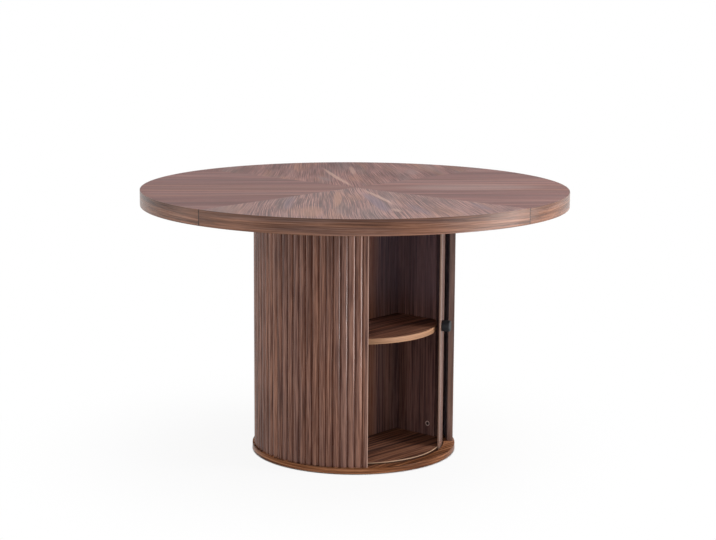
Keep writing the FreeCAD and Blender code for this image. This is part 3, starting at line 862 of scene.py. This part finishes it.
def reed(name, back, crown_height, side, width, low, high, start):
    """A half-round slat, cut from a rod, with its flat back on a cylinder about the table's axis."""
    half = width / 2
    rise = crown_height - side
    radius = (half ** 2 + rise ** 2) / (2 * rise)
    centre = back + crown_height - radius
    clear_selection()
    bpy.ops.mesh.primitive_cylinder_add(
        vertices=64, radius=radius, depth=high - low, end_fill_type="NGON",
        location=polar(centre, start, (low + high) / 2), rotation=(0, 0, start),
    )
    piece = settle(name)
    outward = polar(1.0, start)
    flat = back + side
    bpy.ops.mesh.bisect(plane_co=outward * flat, plane_no=outward, clear_inner=True, use_fill=True)
    pick("FACE", lambda face: face.normal.dot(outward) < -0.9)
    push(outward * (back - flat))
    return piece


def repeat_round(count, pitch):
    """Copies what is being edited round the table's axis."""
    bpy.ops.mesh.select_all(action="SELECT")
    turn = (count - 1) * pitch
    bpy.ops.mesh.spin(steps=count - 1, dupli=True, angle=turn, center=(0, 0, 0), axis=ANTICLOCKWISE)


# ---------------------------------------------------------------- operators

class TableOperator(bpy.types.Operator):
    """Base of the table's operators"""

    bl_options = {"REGISTER", "UNDO"}


class TABLE_OT_carried(TableOperator):
    """Finishes of the pieces that keep their own shape"""

    bl_idname = "table.carried"
    bl_label = "Carcass and fittings"

    def execute(self, context):
        look = context.scene.table_finish
        steel, beech, nylon, pressed = (
            grained(Finish(name), getattr(look, kind + "_light"), getattr(look, kind + "_dark"), *surface)
            for name, kind, surface in (
                ("zinc_plated_steel", "steel", (700.0, 0.34, 0.05, 1.0)),
                ("beech", "beech", (260.0, 0.6, 0.15)),
                ("dark_nylon", "nylon", (600.0, 0.5, 0.1)),
                ("pressed_board", "pressed", (420.0, 0.75, 0.4)),
            )
        )
        finishes = {
            panel_finish(): ("side_panel_left", "side_panel_right", "centre_panel", "side_panel_edge_bands"),
            board_finish("walnut_boards", "board"): ("shelf",),
            board_finish("walnut_floor", "floor"): ("floor_panel", "ceiling_panel"),
            board_finish("walnut_plinth", "plinth"): ("plinth_board", "cap_board"),
            board_finish("backing_veneer", "board"): ("tabletop_backing_veneer",),
            steel: (
                "carcass_screws", "shell_screws", "tabletop_bolts", "bolt_washers", "threaded_inserts",
                "cam_bolts", "door_knob_screw",
            ),
            beech: ("carcass_dowels", "shelf_dowels"),
            nylon: ("glide_feet", "door_guides"),
            pressed: ("tabletop_core",),
        }
        for material, nodes in finishes.items():
            for node in nodes:
                mesh = NODES[node].data
                mesh.materials.clear()
                mesh.materials.append(material)
        return {"FINISHED"}


class TABLE_OT_tabletop(TableOperator):
    """Veneered top in four quarters with its edge band"""

    bl_idname = "table.tabletop"
    bl_label = "Tabletop"

    def execute(self, context):
        shape = context.scene.table_shape
        outer = CAD_BOX[1][0]
        inner = outer - shape.band_thickness
        low, high = heights("edge_band_front_left")
        gap = shape.joint_gap / outer
        for index, corner in enumerate(CORNERS):
            self.quarter(corner, (index - 1) * QUARTER)
            first, last = BAND_JOINTS[index:index + 2]
            name = "top_band_" + corner
            band = bent_board(name, inner, outer, low, high, first + gap, last - gap, shape.arris)
            wood = rim_finish("walnut_" + name, "edge_band_back_right", first, last - first, "rim", RIM)
            finish_piece(band, TABLE, wood, ["edge_band_" + corner])
        return {"FINISHED"}

    def quarter(self, corner, start):
        """A disc cut down to one quarter and raised to its thickness."""
        low = heights("veneer_front_left")[0]
        high = heights("edge_band_front_left")[1]
        wood = veneer_finish(corner, start + QUARTER / 2)
        clear_selection()
        bpy.ops.mesh.primitive_circle_add(
            vertices=288, radius=reach("tabletop_core"), fill_type="NGON", location=(0, 0, low)
        )
        piece = settle("top_veneer_" + corner)
        for turn in (start + QUARTER, start):
            bpy.ops.mesh.select_all(action="SELECT")
            bpy.ops.mesh.bisect(plane_co=(0, 0, 0), plane_no=polar(1.0, turn), clear_inner=True)
        bpy.ops.mesh.select_all(action="SELECT")
        push((0, 0, high - low))
        finish_piece(piece, TABLE, wood, ["veneer_" + corner])


class TABLE_OT_shell(TableOperator):
    """Reeded shell, its backing and the strips beside the doorway"""

    bl_idname = "table.shell"
    bl_label = "Reeded shell"

    def execute(self, context):
        shape = context.scene.table_shape
        low, high = heights("shell_slats")
        back = reach("shell_backing")
        inner = radii("shell_backing")[0]
        crest = back + shape.slat_height
        strip_arc = shape.strip_width / crest
        right = -QUARTER + shape.opening_half
        left = 3 * QUARTER - shape.opening_half
        start = right + strip_arc
        end = left - strip_arc
        trim = shape.slat_trim / crest
        count = round((end - start + 2 * trim) / shape.slat_pitch)
        middle = start - trim + shape.slat_pitch / 2
        section = (shape.slat_height, shape.slat_side, shape.slat_width)
        slats = reed("shell_reeds", back, *section, low, high, middle)
        repeat_round(count, shape.slat_pitch)
        for turn, way in ((start, 1), (end, -1)):
            self.trim_end(turn, way)
        finish_piece(slats, TABLE, slat_finish(), ["shell_slats"])
        plain = shell_end_finish(crest)
        for side, begin, stop in (("right", right, start), ("left", end, left)):
            strip = bent_board("shell_strip_" + side, inner, crest, low, high, begin, stop)
            finish_piece(strip, TABLE, plain, ["shell_edge_strips"])
        backing = bent_board("shell_inner_wall", inner, back, low, high, start, end)
        finish_piece(backing, TABLE, shell_wall_finish(back), ["shell_backing"])
        return {"FINISHED"}

    def trim_end(self, turn, way):
        """Cuts the slats near one end of the shell where its strip stands."""
        end = polar(1.0, turn).xy
        pick("VERT", lambda vert: abs(vert.co.xy.angle_signed(end)) < 0.1)
        bpy.ops.mesh.select_linked()
        normal = polar(1.0, turn + QUARTER) * way
        bpy.ops.mesh.bisect(plane_co=(0, 0, 0), plane_no=normal, clear_inner=True, use_fill=True)


class TABLE_OT_rims(TableOperator):
    """Edge bands of plinth, cap, floor and ceiling"""

    bl_idname = "table.rims"
    bl_label = "Rims"

    def execute(self, context):
        shape = context.scene.table_shape
        for board in ("plinth", "cap"):
            node = board + "_edge_band"
            wood = rim_finish("walnut_" + board + "_rim", node, QUARTER, WHOLE_TURN, "plinth", DISC)
            self.rim(board + "_rim", node, shape.band_thickness, wood, "walnut_edge_band")
        for board, level, way in (
            ("floor", heights("plinth_board")[1], 1),
            ("ceiling", heights("cap_board")[0], -1),
        ):
            # Painted shadow on each light band next to plinth or cap.
            shade_fade = [level + way * end for end in SHADE_ENDS]
            wood = light_band_finish("pale_" + board + "_rim", context.scene.table_finish.pale, shade_fade)
            self.rim(board + "_rim", board + "_edge_band", shape.pale_thickness, wood, "light_edge_band")
        return {"FINISHED"}

    def rim(self, name, node, thickness, wood, slot):
        low, high = heights(node)
        outer = reach(node)
        arris = bpy.context.scene.table_shape.arris
        piece = bent_board(name, outer - thickness, outer, low, high, QUARTER, 5 * QUARTER, arris)
        finish_piece(piece, TABLE, wood, [node])


class TABLE_OT_shelf(TableOperator):
    """Shelf's light edge band"""

    bl_idname = "table.shelf"
    bl_label = "Shelf band"

    def execute(self, context):
        node = "shelf_edge_band"
        inner, outer = radii(node)
        low, high = heights(node)
        half = reach(node)
        past_end = math.asin(half / outer) + 0.02
        start, end = -QUARTER - past_end, -QUARTER + past_end
        arris = context.scene.table_shape.arris
        band = bent_board("shelf_band", inner, outer, low, high, start, end, arris)
        for side in (-1, 1):
            bpy.ops.mesh.select_all(action="SELECT")
            bpy.ops.mesh.bisect(
                plane_co=(side * half, 0, 0), plane_no=(side, 0, 0), clear_outer=True, use_fill=True
            )
        wood = light_band_finish("tan_shelf", context.scene.table_finish.tan)
        finish_piece(band, TABLE, wood, [node])
        return {"FINISHED"}


class TABLE_OT_door(TableOperator):
    """Curved door with its stiles, slats and backing"""

    bl_idname = "table.door"
    bl_label = "Sliding door"

    def execute(self, context):
        shape = context.scene.table_shape
        low, high = heights("door_stile")
        inner, outer = radii("door_stile")
        back = radii("door_panel")[1]
        wood = door_finish()
        lead, start, end = shape.door_lead, shape.door_stile_end, shape.door_tail_start
        stile = bent_board("door_front_stile", inner, outer, low, high, lead, start)
        pick("EDGE", lambda edge: self.upright_at(edge, lead))
        bpy.ops.mesh.bevel(offset=shape.stile_ease, segments=3)
        finish_piece(stile, DOOR, wood, ["door_stile"])
        tail = bent_board("door_back_stile", inner, outer, low, high, end, shape.door_tail_end)
        finish_piece(tail, DOOR, wood, ["door_tail_stile"])
        panel = bent_board("door_backing", inner, back, low, high, start, end)
        finish_piece(panel, DOOR, wood, ["door_panel"])
        pitch = (end - start) / shape.door_slat_count
        section = (outer - back, shape.door_slat_side, pitch * back - shape.door_slat_gap)
        slats = reed("door_reeds", back, *section, low, high, start + pitch / 2)
        repeat_round(shape.door_slat_count, pitch)
        finish_piece(slats, DOOR, wood, ["door_slats"])
        return {"FINISHED"}

    def upright_at(self, edge, turn):
        """Whether an edge stands upright at an angle round the table's axis."""
        low, high = (vert.co for vert in edge.verts)
        point = (low + high) / 2
        return abs(high.z - low.z) > 0.1 and abs(math.atan2(point.y, point.x) - turn) < 0.001


class TABLE_OT_knob(TableOperator):
    """Round knob turned from one piece"""

    bl_idname = "table.knob"
    bl_label = "Knob"

    def execute(self, context):
        shape = context.scene.table_shape
        verts = NODES["door_knob"].data.vertices
        axis = polar(1.0, shape.knob_angle)
        side = polar(1.0, shape.knob_angle + QUARTER)
        back = min(vert.co.dot(axis) for vert in verts)
        front = max(vert.co.dot(axis) for vert in verts)
        radius = max(vert.co.dot(side) for vert in verts)
        low, high = heights("door_knob")
        clear_selection()
        bpy.ops.mesh.primitive_cylinder_add(
            vertices=96, radius=radius, depth=front - back, end_fill_type="NGON",
            location=axis * ((back + front) / 2) + Vector((0, 0, (low + high) / 2)),
            rotation=(QUARTER, 0, shape.knob_angle + QUARTER),
        )
        knob = settle("door_pull")
        self.round_end(axis, front, shape.knob_ease)
        self.round_end(-axis, -back, shape.knob_back_ease)
        pick("FACE", lambda face: face.normal.dot(axis) > 0.999 and face.calc_area() > radius ** 2)
        bpy.ops.mesh.inset(thickness=shape.knob_border)
        push(axis * -shape.knob_sink)
        finish_piece(knob, DOOR, knob_finish(), ["door_knob"])
        return {"FINISHED"}

    def round_end(self, axis, level, ease):
        pick("EDGE", lambda edge: all(abs(vert.co.dot(axis) - level) < 0.00001 for vert in edge.verts))
        bpy.ops.mesh.bevel(offset=ease, segments=5)


class TABLE_OT_cam_locks(TableOperator):
    """Round cam locks, dished, with a socket for the driver"""

    bl_idname = "table.cam_locks"
    bl_label = "Cam locks"

    def execute(self, context):
        shape = context.scene.table_shape
        zinc = cam_finish()
        pattern = self.pattern(shape)
        for index, (point, inward) in enumerate(self.places(shape)):
            clear_selection()
            pattern.select_set(True)
            context.view_layer.objects.active = pattern
            bpy.ops.object.duplicate(linked=False)
            cam = context.object
            cam.location = point
            cam.rotation_euler.z = math.atan2(inward.y, inward.x)
            settle("cam_lock_" + str(index + 1))
            finish_piece(cam, TABLE, zinc, ["cam_locks"])
        bpy.data.objects.remove(pattern)
        return {"FINISHED"}

    def places(self, shape):
        """Each cam's face, and the way into its panel."""
        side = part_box("side_panel_right")[0].x
        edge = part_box("side_panel_edge_bands")[1].y - shape.cam_from_front
        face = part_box("centre_panel")[1].y
        floor = heights("floor_panel")[1] + shape.cam_from_end
        ceiling = heights("ceiling_panel")[0] - shape.cam_from_end
        for z in (floor, ceiling):
            for way in (1, -1):
                yield Vector((way * side, -edge, z)), Vector((way, 0, 0))
                yield Vector((way * side, edge, z)), Vector((way, 0, 0))
                yield Vector((way * (side - shape.cam_from_side), face, z)), Vector((0, -1, 0))

    def pattern(self, shape):
        """One cam lock at the origin, with its face towards -X."""
        clear_selection()
        bpy.ops.mesh.primitive_cylinder_add(
            vertices=32, radius=shape.cam_diameter / 2, depth=shape.cam_depth, end_fill_type="NGON",
            location=(shape.cam_depth / 2, 0, 0), rotation=(0, QUARTER, 0),
        )
        pattern = settle("cam_lock_pattern")
        pick("FACE", lambda face: face.normal.x < -0.99)
        for rim, drop in ((shape.cam_rim, shape.cam_dish), (shape.cam_socket_rim, shape.cam_socket)):
            bpy.ops.mesh.inset(thickness=rim)
            push((drop, 0, 0))
        bpy.ops.object.mode_set(mode="OBJECT")
        return pattern


# Each lamp: its distance from the table's axis, its angle round it in degrees, its height, the height that
# it is aimed at, and its own width and height. Its power is the studio's setting of the same name.
LAMPS = {
    "key_light": (2.4, -64, 1.25, 1.25, (0.9, 2.4)),
    "right_sheen": (2.4, -67, 1.25, 1.25, (2.5, 2.4)),
    "left_sheen": (2.4, 150, 1.25, 1.25, (2.4, 2.4)),
    "slat_sheen": (1.28, -83, 0.19, 0.19, (0.20, 0.36)),
    "top_light": (0.8, -20, 3.4, 0.4, (3.0, 3.0)),
    "fill_light": (4.2, -163, 1.4, 0.4, (2.4, 2.2)),
}
GLOSS_ALONE = ("right_sheen", "left_sheen", "slat_sheen")

FLOOR_RADIUS = 9.0
FLOOR_BORDER = 6.0
FLOOR_GREY = (0.80, 0.80, 0.80, 1.0)

# The floor's shadow shows in full up to the first distance from the axis and not at all past the second.
SHADOW_RADII = (0.32, 1.1)
WARM_WHITE = (1.0, 0.9977, 0.9954, 1.0)
WHITE = (1.0, 1.0, 1.0, 1.0)


class TABLE_OT_studio(TableOperator):
    """Floor, lights and camera"""

    bl_idname = "table.studio"
    bl_label = "Studio"

    def execute(self, context):
        studio = context.scene.table_studio
        self.floor()
        self.sky(context.scene, studio)
        self.lights(studio)
        self.camera(context.scene, studio)
        context.scene.view_settings.view_transform = "Standard"
        return {"FINISHED"}

    def floor(self):
        """A wide disc that shows white and keeps the table's shadow near the plinth."""
        clear_selection()
        bpy.ops.mesh.primitive_circle_add(vertices=96, radius=FLOOR_RADIUS, fill_type="NGON")
        floor = bpy.context.object
        floor.name = "studio_floor"
        bpy.ops.object.mode_set(mode="EDIT")
        bpy.ops.mesh.inset(thickness=FLOOR_BORDER)
        bpy.ops.object.mode_set(mode="OBJECT")
        finish = Finish("studio_floor")
        finish.set(base_color=FLOOR_GREY, roughness=0.9)
        distance = finish.distance_out()
        edge = reach("plinth_edge_band")
        plain = finish.spread(distance, *SHADOW_RADII, 0.90, 1.0)
        outside = finish.spread(distance, edge - 0.001, edge + 0.002)
        glow = finish.node("ShaderNodeEmission", None, {"Color": WHITE, "Strength": 1.0})
        finish.show(plain * outside * finish.seen(), finish.lit, glow)
        floor.data.materials.append(finish.material)

    def sky(self, scene, studio):
        """Soft light from all round, seen as plain white."""
        scene.world = bpy.data.worlds.new("studio_sky")
        sky = Shaders(scene.world, "ShaderNodeOutputWorld")
        soft = sky.node("ShaderNodeBackground", None, {"Color": WARM_WHITE, "Strength": studio.ambient})
        white = sky.node("ShaderNodeBackground", None, {"Color": WHITE})
        sky.show(sky.seen(), soft, white)

    def lights(self, studio):
        for name, (distance, turn, height, aim_height, size) in LAMPS.items():
            place = polar(distance, math.radians(turn), height)
            aim = (Vector((0, 0, aim_height)) - place).to_track_quat("-Z", "Y").to_euler()
            bpy.ops.object.light_add(type="AREA", location=place, rotation=aim)
            lamp = bpy.context.object
            lamp.name = name
            lamp.data.shape = "RECTANGLE"
            lamp.data.size, lamp.data.size_y = size
            lamp.data.energy = getattr(studio, name)
            lamp.visible_diffuse = name not in GLOSS_ALONE

    def camera(self, scene, studio):
        bpy.ops.object.camera_add(location=studio.camera_place, rotation=studio.camera_turn)
        camera = bpy.context.object
        camera.name = "studio_camera"
        camera.data.sensor_fit = "HORIZONTAL"
        camera.data.sensor_width = 36.0
        camera.data.lens = studio.focal_length
        camera.data.clip_end = 50.0
        scene.camera = camera


class TABLE_PT_sidebar(bpy.types.Panel):
    """Lists the table's operators and settings"""

    bl_idname = "TABLE_PT_sidebar"
    bl_label = "Table"
    bl_space_type = "VIEW_3D"
    bl_region_type = "UI"
    bl_category = "Table"

    def draw(self, context):
        for operator in OPERATORS:
            self.layout.operator(operator.bl_idname)
        for group in (context.scene.table_shape, context.scene.table_finish, context.scene.table_studio):
            box = self.layout.box()
            for name in group.__annotations__:
                box.prop(group, name)


OPERATORS = (
    TABLE_OT_carried,
    TABLE_OT_tabletop,
    TABLE_OT_shell,
    TABLE_OT_rims,
    TABLE_OT_shelf,
    TABLE_OT_door,
    TABLE_OT_knob,
    TABLE_OT_cam_locks,
    TABLE_OT_studio,
)
GROUPS = {"table_shape": TableShape, "table_finish": TableFinish, "table_studio": TableStudio}
CLASSES = (*GROUPS.values(), *OPERATORS, TABLE_PT_sidebar)


def register():
    for item in CLASSES:
        bpy.utils.register_class(item)
    for name, group in GROUPS.items():
        setattr(bpy.types.Scene, name, bpy.props.PointerProperty(type=group))


def unregister():
    for name in GROUPS:
        delattr(bpy.types.Scene, name)
    for item in reversed(CLASSES):
        bpy.utils.unregister_class(item)


def main():
    register()
    bpy.ops.table.carried()
    bpy.ops.table.tabletop()
    bpy.ops.table.shell()
    bpy.ops.table.rims()
    bpy.ops.table.shelf()
    bpy.ops.table.door()
    bpy.ops.table.knob()
    bpy.ops.table.cam_locks()
    bpy.ops.table.studio()


if __name__ == "__main__":
    main()
